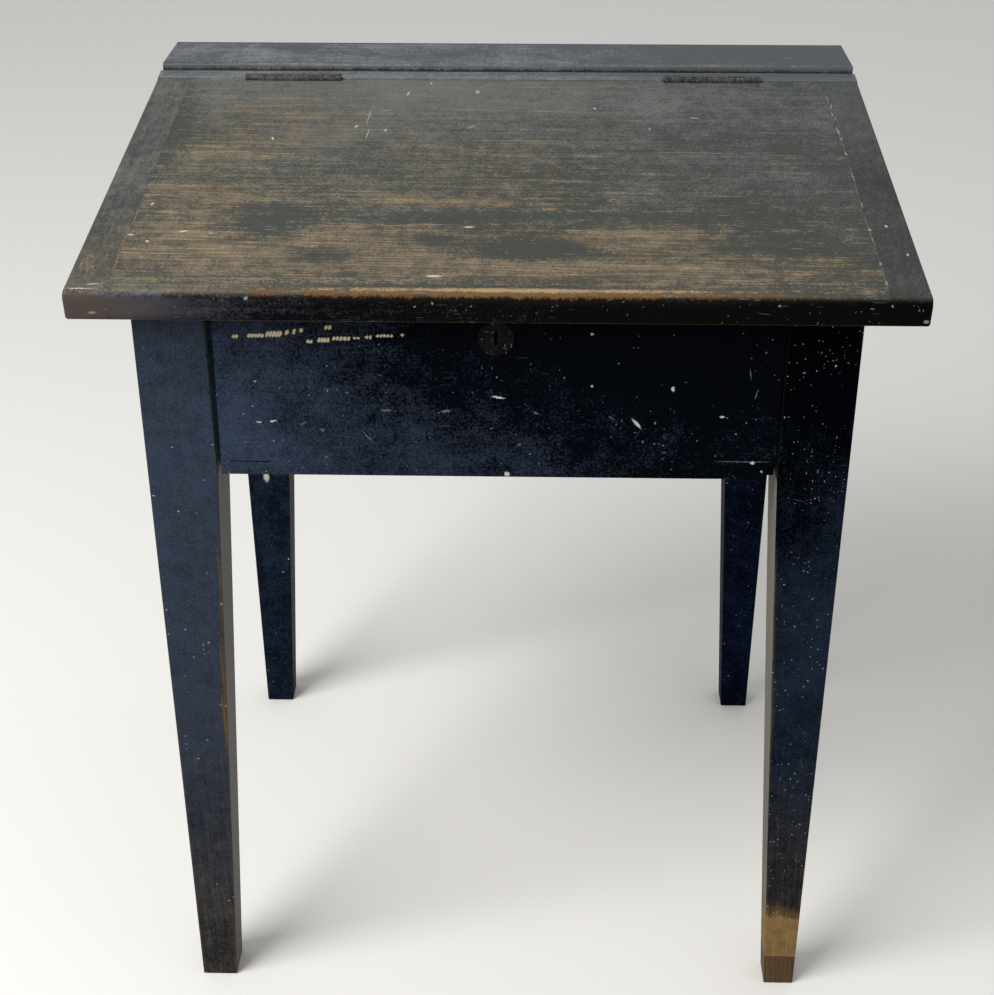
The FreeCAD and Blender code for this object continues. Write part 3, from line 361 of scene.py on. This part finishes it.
def bare_pine(name, along, board, wood, dirt_tone):
    """Unpainted pine, browned by age: matt, with its rings, and with stains and dirt in its grain."""
    stain_size = 60 * MM
    relief_height = 0.25 * MM
    material = bpy.data.materials.new(name)
    material.use_nodes = True
    tree = material.node_tree
    shader = tree.nodes["Principled BSDF"]
    shader.inputs["Roughness"].default_value = 0.66
    shader.inputs["Specular IOR Level"].default_value = 0.2
    spot = add(tree, "TexCoord", "Object", {})
    rings, fibre = pine_grain(tree, spot, along, board)
    dirt = add(tree, "TexNoise", "Fac", {
        "Vector": spot, "Scale": 1 / stain_size, "Detail": 5, "Roughness": 0.65})
    colour = add(tree, "Mix", MIXED, {SHARE: rings, FIRST: linear(wood[0]), SECOND: linear(wood[1])},
                 data_type="RGBA")
    thread = add(tree, "MapRange", "Result", {
        "Value": fibre, "From Min": 0.35, "From Max": 0.75, "To Max": 0.5})
    colour = add(tree, "Mix", MIXED, {SHARE: thread, FIRST: colour, SECOND: linear(wood[2])},
                 data_type="RGBA")
    grime = add(tree, "MapRange", "Result", {"Value": dirt, "From Min": 0.5, "From Max": 0.8, "To Max": 0.7})
    colour = add(tree, "Mix", MIXED, {SHARE: grime, FIRST: colour, SECOND: linear(dirt_tone)},
                 data_type="RGBA")
    height = add(tree, "Math", 0, {0: fibre, 1: 0.5, 2: rings}, operation="MULTIPLY_ADD")
    relief = add(tree, "Bump", "Normal", {"Height": height, "Strength": 0.4, "Distance": relief_height})
    tree.links.new(colour, shader.inputs["Base Color"])
    tree.links.new(relief, shader.inputs["Normal"])
    return material


dress("front_right_foot_tip", bare_pine(
    "brown_wood_tip", "Z", 5, ("#352513", "#4c3720", "#60492c"), "#2b1d10"), 1.0 * MM)


# Aprons
# Four pine boards tenoned into the legs under the lid, painted with the legs and bare inside.
# The front one is nicked along its top, chipped and scuffed, and patched with a slip at its right end.

# The same paint as the legs', mottled, with cream undercoat in the nicks. Hazed marks make it slate blue at
# the left and nearly black at the right, painted light and shade for a lamp on the left. The bare insides
# are brown pine.
apron_paint = ("#020409", "#303949")
apron_specks = (0.06, "#6d7378", 4)
bare_tones = ("#5c4630", "#84684a", "#4a3a2a")
apron_ease = 0.8 * MM
apron_face = -238
everywhere = (-deep, deep)
stroke_pitch = 2.8
nick_rows = [
    (-216, -211, 703, 1.3), (-203, -190, 704, 1.6), (-188, -175, 705.5, 2.5), (-172.5, -169, 707, 2.2),
    (-166, -163.5, 708, 2.2), (-160, -158, 709, 1.8), (-155, -150, 699, 1.3), (-146, -136, 700.5, 1.8),
    (-134, -119, 702, 1.7), (-117, -111, 702.5, 0.9), (-107, -101, 703.5, 1.4), (-98, -84, 704.7, 1.2),
    (-78, -75, 705.6, 1.2), (-140, -134, 711.7, 1.9),
]
nicks = []
for start, end, z, tall in nick_rows:
    strokes = max(1, round((end - start) / stroke_pitch))
    nicks += [(start + (i + 0.5) * (end - start) / strokes, z, 1.4, 1.3 * tall, -25) for i in range(strokes)]
spots = [
    (117, 627, 6, 1.4, -50), (146, 659, 1.4, 2.6, 0), (78, 708, 1.5, 1.1, 0), (79, 661, 1.1, 1.1, 0),
    (188, 634, 2.4, 0.9, 0), (216, 591, 2.2, 1.8, 0), (9, 578, 2.4, 2.4, 0), (-199, 625, 2.4, 0.8, 0),
    (-187, 626, 3, 0.8, 8), (2, 650, 6, 1, -10),
]
faint_spots = [
    (141, 600, 1.3, 0.9, 0), (123, 610, 1.1, 1.1, 0), (-146, 618, 2.2, 1.2, -20), (-162, 624, 3.5, 0.7, 20),
    (-92, 637, 5, 0.9, 0), (33, 636, 2.4, 1.2, -20), (-42, 637, 5, 1.2, 10), (-108, 612, 9, 0.5, -50),
    (208, 592, 24, 0.4, 0), (96, 632, 3, 0.7, -40), (19, 606, 2, 1, 30), (209, 673, 0.4, 5, 10),
    (215, 655, 0.4, 5, -15),
]
apron_chips = [((x, apron_face, z), (w, deep, h), (0, -math.radians(turn), 0), tone)
               for rows, tone in ((nicks, "#a99c7d"), (spots, "#a6a69f"), (faint_spots, "#4d5459"))
               for x, z, w, h, turn in rows]
dress("front_apron", painted_pine(
    "blue_black_paint_on_pine_front_apron", "X", 6, apron_paint, leg_wood, wear=-0.15, gloss=0.48,
    shine=0.01,
    painted_light_and_haze_marks=[((-270, apron_face, 640), (230, 200, 260), 0.6), ((-40, apron_face, 590), (420, 200, 90), 0.1),
           ((0, apron_face, 600), (200, 200, 90), 0.25), ((180, apron_face, 700), (420, 200, 220), -0.6)],
    chips=apron_chips, specks=apron_specks, scratches=(0.06, "#2c333b", 16), edge_wear=0.2,
    inside=((0, 1, 0), 1, bare_tones, everywhere), uneven=0.7), apron_ease)
dress("apron_slip", painted_pine(
    "blue_black_paint_on_pine_slip", "X", 7, apron_paint, leg_wood, wear=-0.15, gloss=0.48, shine=0.01,
    painted_light_and_haze_marks=[((200, apron_face, 590), (200, 200, 100), -0.4)], edge_wear=0.2, uneven=0.7), 0.4 * MM)
other_aprons = {
    "back_apron": ("X", (0, -1, 0)), "left_apron": ("Y", (1, 0, 0)), "right_apron": ("Y", (-1, 0, 0)),
}
for board, (name, (along, inward)) in enumerate(other_aprons.items(), 8):
    dress(name, painted_pine(
        "blue_black_paint_on_pine_" + name, along, board, leg_paint, leg_wood, wear=-0.15, gloss=0.5,
        shine=0.06, specks=apron_specks, inside=(inward, 1, bare_tones, everywhere)), apron_ease)


# Ledgers and the floor of the book well
# Sawn pine strips nailed inside the aprons carry five thin boards, nailed down with wire nails.
# None of it was painted, so it has gone brown, with ink and dust in the grain.

well_wood = ("#7a5a39", "#94724a", "#a98a5f")
for board, ledger in enumerate(("front_ledger", "back_ledger"), 11):
    dress(ledger, bare_pine("brown_pine_" + ledger, "X", board, well_wood, "#4a3826"), 0.6 * MM)
for board, ledger in enumerate(("left_ledger", "right_ledger"), 13):
    dress(ledger, bare_pine("brown_pine_" + ledger, "Y", board, well_wood, "#4a3826"), 0.6 * MM)
for number in range(1, 6):
    name = f"well_board_{number}"
    dress(name, bare_pine("brown_pine_" + name, "Y", 14 + number, well_wood, "#3d3026"), 0.5 * MM)


def rusted_iron(name, tones, metal, roughness):
    """Plain iron gone brown: dull dark scale, with rust in patches and brighter pits."""
    scale_size = 9 * MM
    pit_size = 2 * MM
    pit_depth = 0.15 * MM
    material = bpy.data.materials.new(name)
    material.use_nodes = True
    tree = material.node_tree
    shader = tree.nodes["Principled BSDF"]
    shader.inputs["Metallic"].default_value = metal
    spot = add(tree, "TexCoord", "Object", {})
    scale = add(tree, "TexNoise", "Fac", {
        "Vector": spot, "Scale": 1 / scale_size, "Detail": 6, "Roughness": 0.7})
    pits = add(tree, "TexNoise", "Fac", {"Vector": spot, "Scale": 1 / pit_size, "Detail": 3})
    rust = add(tree, "MapRange", "Result", {"Value": scale, "From Min": 0.42, "From Max": 0.68})
    colour = add(tree, "Mix", MIXED, {SHARE: rust, FIRST: linear(tones[0]), SECOND: linear(tones[1])},
                 data_type="RGBA")
    bright = add(tree, "MapRange", "Result", {
        "Value": pits, "From Min": 0.55, "From Max": 0.7, "To Max": 0.6})
    colour = add(tree, "Mix", MIXED, {SHARE: bright, FIRST: colour, SECOND: linear(tones[2])},
                 data_type="RGBA")
    dull = add(tree, "MapRange", "Result", {
        "Value": scale, "From Min": 0.3, "From Max": 0.7, "To Min": roughness, "To Max": 0.85})
    relief = add(tree, "Bump", "Normal", {"Height": pits, "Strength": 0.4, "Distance": pit_depth})
    tree.links.new(colour, shader.inputs["Base Color"])
    tree.links.new(dull, shader.inputs["Roughness"])
    tree.links.new(relief, shader.inputs["Normal"])
    return material


nail_iron = rusted_iron("rusted_iron_nails", ("#2b2623", "#4a3326", "#6b5a4c"), 0.6, 0.5)
for nails in ("ledger_nails", "well_nails"):
    dress(nails, nail_iron, 0.2 * MM)


# Lock
# An iron chest lock let into the inside of the front apron, with its case, key pin and sliding bolt,
# and a round plate round the keyhole outside that was painted over with the apron.

# Iron handled now and then keeps a dark shine. The plate's paint is scratched by keys all round the hole.
lock_iron = rusted_iron("dark_lock_iron", ("#2c2a2a", "#46352b", "#6f6862"), 0.8, 0.4)
for piece in ("lock_plate", "lock_case", "key_pin", "lock_screws", "lock_bolt"):
    dress(piece, lock_iron, 0.25 * MM)
plate_paint = painted_pine(
    "paint_on_iron_plate", "X", 20, ("#020304", "#14161a"), ("#14161a", "#2a2522", "#4c443b", "#6d6355"),
    wear=-0.1, gloss=0.5, shine=0.05, edge_reach=1.2 * MM, edge_wear=0.4, specks=(0.1, "#5d6266", 3),
    scratches=(0.6, "#5a5650", 5))
dress("escutcheon", plate_paint, 0.3 * MM)
dress("escutcheon_pins", plate_paint, 0.15 * MM)


# Top board and hinge rail
# A flat pine shelf nailed down over the back of the frame, for pens and ink, and the narrow strip
# in front of it that the hinges are screwed to. Both are black paint rubbed to a grey sheen.

# Old black paint, grey and satin where it faces up, partly faded and partly a painted sheen, darker at the
# right end and round two stains. Painted shadow darkens the back arris and a band along the foot of the
# front face, above the rail, and the worn front arris is lightened as a painted highlight.
shelf_paint = ("#4e5052", "#747677", "#30353a", "#81878b")
rail_paint = ("#16191b", "#24282b", "#4c5152", "#868b8c")
shelf_wood = ("#5a5e60", "#5b5a57", "#6f6b66", "#85807a")
shelf_specks = (0.05, "#8b8d8c", 5)
dress("top_board", painted_pine(
    "grey_black_paint_on_pine_top_board", "X", 21, shelf_paint, shelf_wood, wear=0.0, gloss=0.42, shine=0.25,
    sun_and_sheen=1, wear_and_highlight_marks=[((0, 181, 813), (900, 3, 4), 0.6)],
    painted_light_and_haze_marks=[((330, 220, 800), (300, 300, 300), -0.6), ((0, 262, 813), (900, 6, 20), -0.9),
           ((-217, 239, 813), (30, 14, 60), -0.9), ((-59, 216, 813), (22, 10, 60), -0.6),
           ((-345, 181, 808), (170, 8, 12), -0.8)],
    edge_bands=[((0, 181, 806.5), (900, 6, 3), "#1b1d1e")],
    edge_reach=2 * MM, edge_wear=0.25, specks=shelf_specks, scratches=(0.15, "#7d8082", 18), scatter=0.4),
    0.8 * MM)
# The rail's back arris is lightened by a worn mark that is partly a painted highlight.
dress("hinge_rail", painted_pine(
    "grey_black_paint_on_pine_hinge_rail", "X", 22, rail_paint, shelf_wood, wear=0.0, gloss=0.42, shine=0.25,
    sun_and_sheen=1, wear_and_highlight_marks=[((0, 180, 806), (900, 4, 4), 0.7)], painted_light_and_haze_marks=[((330, 165, 806), (260, 60, 60), -0.6)],
    edge_reach=2 * MM, edge_wear=0.2, specks=shelf_specks, scratches=(0.05, "#7d8082", 18), scatter=0.4),
    0.5 * MM)
dress("top_board_nails", nail_iron, 0.2 * MM)


# Hinges
# Two iron butt hinges let into the meeting edges of the rail and the lid, each with its pin and
# three screws to a leaf. Only the knuckles show when the lid is down, brown with rust.

hinge_iron = rusted_iron("rusted_hinge_iron", ("#141213", "#484443", "#767370"), 0.1, 0.6)
for side in ("left", "right"):
    for piece in ("hinge_rail_leaf", "hinge_lid_leaf", "hinge_pin"):
        dress(f"{side}_{piece}", hinge_iron, 0.25 * MM)
    for piece in ("rail_leaf_screws", "lid_leaf_screws"):
        dress(f"{side}_{piece}", nail_iron, 0.15 * MM)


# Lid
# Three pine boards edge-glued into one slope, with a cleat across the grain at each end to keep it flat.
# The black paint has a grey sheen, and forearms and books have worn the front half down to brown wood.

# Black paint on pine, rubbed by sleeves: grey-green where it faces up, partly faded paint and partly a
# painted sheen, lighter towards the back as painted sheen and darker towards the right as painted shade. It
# is streaked along the grain where the wood shows through, golden along the front nosing, and black on the
# front face, which is painted lighter at the left end and darker at the right.
lid_paint = ("#020303", "#3a3b45", "#3c3e3a", "#6a6d6c")
lid_wood = ("#564f42", "#4e473b", "#80715d", "#9d896c")
lid_level = 766
lid_front = -262
worn = [
    (-250, -185, 130, 90, 0.38), (-95, -190, 125, 75, 0.42), (130, -165, 90, 34, 0.65),
    (120, -216, 240, 36, 0.45), (-265, -88, 100, 60, 0.4), (-263, 0, 100, 50, 0.35),
    (-230, 75, 130, 70, 0.2), (-60, -101, 140, 12, 0.35), (-30, -30, 190, 110, 0.12),
    (27, -188, 75, 26, -0.55), (-52, -172, 22, 16, -0.45), (-146, -196, 36, 22, -0.45),
    (-196, -142, 46, 48, -0.35), (-57, -128, 120, 18, -0.35), (250, 20, 220, 240, -0.3),
    (-330, 60, 60, 170, -0.4),
]
edge_bands = [
    ((-345, lid_front, 738), (100, 14, 18), "#453d38"), ((10, -260.5, 747.5), (330, 6, 5), "#120d0a"),
    ((10, -257, 750), (270, 5, 3.4), "#644a2e"), ((20, -252.8, 751.2), (190, 3.6, 3.5), "#98825f"),
]
lower_arris = ((-60, -257.5, 727.5), (460, 4, 4), 1.0)
lid_rubbed = [((x, y, lid_level), (w, d, deep), strength) for x, y, w, d, strength in worn] + [lower_arris]
lid_tone_and_painted_light = [
    ((340, -60, lid_level), (420, 420, deep), -0.05), ((-335, 50, lid_level), (60, 190, deep), -0.7),
    ((-100, 170, lid_level), (520, 220, deep), 0.5), ((20, -190, lid_level), (420, 110, deep), -0.5),
]
# The lid's front face is painted lighter at its left end and darker at its right, painted light and shade
# from the lamp on the left.
face_painted_light = [((-345, lid_front, 740), (210, 26, 26), 0.6), ((290, lid_front, 738), (350, 26, 26), -0.6)]
line_width = 1.2
line_ends = [
    (-304, -90, -262, -99), (-262, -99, -240, -105), (-258, -108, -240, -105), (-285, -84, -235, -88),
    (-235, -88, -181, -103), (-135, -99, -119, -105), (-119, -105, -58, -100), (-58, -100, -23, -103),
    (-23, -103, 19, -111), (-177, -88, -111, -88), (77, -82, 127, -82), (77, -89, 135, -90),
    (173, -87, 217, -87), (8, -94, 58, -94), (-207, 12, -161, 10), (-215, -26, -119, -29), (-42, 23, 69, 21),
    (134, 0, 219, -3), (231, -5, 277, -6), (219, -39, 288, -42), (-60, 90, 5, 88), (-300, -125, -225, -128),
]
lines = [((a + c) / 2, (b + d) / 2, math.dist((a, b), (c, d)) / 2, line_width / 2,
          math.degrees(math.atan2(d - b, c - a))) for a, b, c, d in line_ends]
nips = [
    (-213, 24, 1.2, 3.5, 15), (-94, 126, 1, 5, -12), (-73, 151, 0.9, 2.4, 0), (86, 94, 1.3, 2.2, 0),
    (-138, 51, 1.1, 3, -20), (-110, 43, 0.9, 2.6, 0), (-25, -147, 5, 1.3, 5), (-50, -231, 7, 1.8, 2),
    (-292, -176, 1.7, 2, 30), (-308, -165, 2.4, 1.2, 0), (-265, -158, 4, 1.5, 12), (-300, -109, 1.1, 3, -10),
]
faint_nips = [
    (-27, 131, 2.6, 5, 0), (179, 74, 5, 1.4, -10), (-241, -161, 2.4, 1.3, 0), (136, 49, 1, 3.4, 0),
    (-128, 72, 0.6, 20, -3), (-126, 35, 0.6, 12, -3), (-112, 87, 6, 0.7, 0), (-30, 52, 5, 1.2, 35),
]
glue_line = [
    (310.2, 118, 0.5, 9, 3), (311.4, 101, 0.7, 6, -6), (310.2, 84, 0.9, 4, 8), (311.8, 74, 0.5, 5, -8),
    (310.6, 47, 0.9, 7, 4), (311.4, 30, 0.6, 4, -6), (311.4, -1, 1.1, 3, 7), (311.0, -48, 0.5, 8, 3),
    (311.3, -101, 0.7, 5, 2), (311.4, -146, 1.1, 3, 6), (310.9, -163, 0.6, 4, -3), (311.2, -205, 0.7, 3, 2),
    (311.4, -236, 0.9, 4, 4),
]
faint_glue = [
    (310.8, 20, 0.4, 40, 1), (311.1, -60, 0.4, 45, -0.6), (310.8, -150, 0.4, 50, 0.7),
    (311.2, -225, 0.4, 28, -0.8),
]
crack_line = [
    (308.6, 84, 0.5, 10, 10), (309.2, 60, 0.6, 9, -12), (308.4, 36, 0.5, 8, 9), (309.4, 12, 0.4, 9, -6),
]
brown_line = [(-310.4, -130, 0.6, 16, 2), (-311.6, -168, 0.8, 14, -3), (-310.8, -212, 0.7, 20, 2)]
cleat_nips = [
    (326, -140, 1.2, 2.6, 10), (336, -189, 1.0, 2.0, -15), (-322, -248, 6, 0.8, 8), (-331, -255, 13, 0.7, 1),
]
face_nips = [
    (297, 742, 1.6, 0.7), (313, 744.5, 1.0, 0.8), (224, 744, 1.0, 0.8), (334, 741.5, 1.0, 0.8),
    (341, 731, 2.6, 1.8), (-198, 746.5, 1.6, 1.2), (-322, 733, 3.6, 1.2), (-19, 741.5, 1.0, 1.0),
    (-50, 744, 1.0, 1.2), (-64, 741, 1.2, 1.0),
]
joint_marks = [(glue_line, "#82837e"), (faint_glue, "#62645f"), (brown_line, "#6f5f4b")]
board_marks = joint_marks + [
    (lines, "#746d5a"), (nips, "#a9a496"), (faint_nips, "#83857f"), (crack_line, "#2a2b29"),
]
cleat_marks = joint_marks + [(cleat_nips, "#a9a496")]
face_marks = [((x, lid_front, z), (w, 6, h), (0, 0, 0), "#75736e") for x, z, w, h in face_nips]
for board, name in enumerate(("lid_front_board", "lid_middle_board", "lid_back_board"), 23):
    front, back = (corner.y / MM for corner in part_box(name))
    marks = [((x, y, lid_level), (w, d, deep), (0, 0, math.radians(turn)), tone)
             for rows, tone in board_marks for x, y, w, d, turn in rows if front < y < back]
    if name == "lid_front_board":
        marks += face_marks
    dress(name, painted_pine(
        "rubbed_black_paint_on_pine_" + name, "X", board, lid_paint, lid_wood, wear=0.16, gloss=0.45,
        shine=0.03, sun_and_sheen=1, wear_and_highlight_marks=lid_rubbed, painted_light_and_haze_marks=lid_tone_and_painted_light + face_painted_light, chips=marks, edge_bands=edge_bands,
        edge_wear=0, specks=(0.15, "#96948c", 4), scratches=(0.4, "#77736a", 15), scatter=0.25,
        inside=((0, 0, -1), 1, bare_tones, everywhere), uneven=1.35))
cleat_rubbed = [((-328, -215, lid_level), (90, 170, deep), 0.3), lower_arris]
# The backs of the cleats are painted lighter as a painted sheen, and the right cleat's paint is darker as
# painted shade.
cleat_painted_sheen = [
    ((-328, 80, lid_level), (120, 260, deep), 0.2), ((328, 140, lid_level), (120, 200, deep), 0.5),
]
cleat_looks = {
    "lid_left_cleat": (-1, ("#0a0909", "#3c3a40", "#3a3d3d", "#6b6760"), 0.05),
    "lid_right_cleat": (1, ("#020303", "#1c1d1c", "#353735", "#545652"), -0.05),
}
for board, (name, (side, paint, wear)) in enumerate(cleat_looks.items(), 26):
    marks = [((x, y, lid_level), (w, d, deep), (0, 0, math.radians(turn)), tone)
             for rows, tone in cleat_marks for x, y, w, d, turn in rows if x * side > 0]
    marks += [mark for mark in face_marks if mark[0][0] * side > 0]
    dress(name, painted_pine(
        "rubbed_black_paint_on_pine_" + name, "Y", board, paint, lid_wood, wear=wear, gloss=0.45,
        shine=0.03, sun_and_sheen=1, wear_and_highlight_marks=cleat_rubbed, painted_light_and_haze_marks=cleat_painted_sheen + face_painted_light, chips=marks, edge_bands=edge_bands,
        edge_wear=0, specks=(0.07, "#96948c", 4), scratches=(0.1, "#7d7868", 20),
        inside=((0, 0, -1), 1, bare_tones, everywhere), uneven=0.9))


# Link plate
# The iron plate let in under the lid's front edge, of the same dark iron as the lock.
# Its two eyes drop into the lock when the lid is shut, and two screws hold it.

for piece in ("link_plate", "link_screws"):
    dress(piece, lock_iron, 0.2 * MM)


# Floor, light and camera
# A plain pale floor, a pale even sky and one broad soft lamp high on the left, in front of the desk.
# The camera stands a little right of the middle and looks down at the desk from the front.

floor_half = 6.0
floor_mesh = bpy.data.meshes.new("pale_floor")
floor_mesh.from_pydata(
    [(-floor_half, -floor_half, 0), (floor_half, -floor_half, 0), (floor_half, floor_half, 0),
     (-floor_half, floor_half, 0)], [], [(0, 1, 2, 3)])
floor = bpy.data.objects.new("pale_floor", floor_mesh)
bpy.context.scene.collection.objects.link(floor)
pale = bpy.data.materials.new("pale_matt_floor")
pale.use_nodes = True
pale.node_tree.nodes["Principled BSDF"].inputs["Base Color"].default_value = linear("#dcdad5")
pale.node_tree.nodes["Principled BSDF"].inputs["Roughness"].default_value = 0.9
floor_mesh.materials.append(pale)

world = bpy.data.worlds.new("pale_sky")
bpy.context.scene.world = world
world.use_nodes = True
sky = world.node_tree.nodes["Background"]
sky.inputs["Color"].default_value = linear("#f2f4f6")
sky.inputs["Strength"].default_value = 0.7

lamp_place = Vector((-2.0, -1.6, 2.8))
lamp_aim = Vector((0, 0, 0.6))
lamp_data = bpy.data.lights.new("soft_lamp", "AREA")
lamp_data.shape = "SQUARE"
lamp_data.size = 2.0
lamp_data.energy = 140
lamp = bpy.data.objects.new("soft_lamp", lamp_data)
lamp.location = lamp_place
lamp.rotation_euler = (lamp_aim - lamp_place).to_track_quat("-Z", "Y").to_euler()
bpy.context.scene.collection.objects.link(lamp)

image_width = 994
focal_pixels = 1743.8
camera_place = (0.0334, -1.5399, 1.2829)
pitch, yaw, roll = (math.radians(angle) for angle in (-29.20, -1.444, -0.08))
camera_data = bpy.data.cameras.new("front_camera")
camera_data.sensor_fit = "HORIZONTAL"
camera_data.sensor_width = 36
camera_data.lens = camera_data.sensor_width * focal_pixels / image_width
camera = bpy.data.objects.new("front_camera", camera_data)
aim = Euler((math.pi / 2 + pitch, 0, -yaw)).to_matrix() @ Matrix.Rotation(roll, 3, "Z")
camera.matrix_world = Matrix.Translation(camera_place) @ aim.to_4x4()
bpy.context.scene.collection.objects.link(camera)
bpy.context.scene.camera = camera
bpy.context.scene.view_settings.view_transform = "Standard"
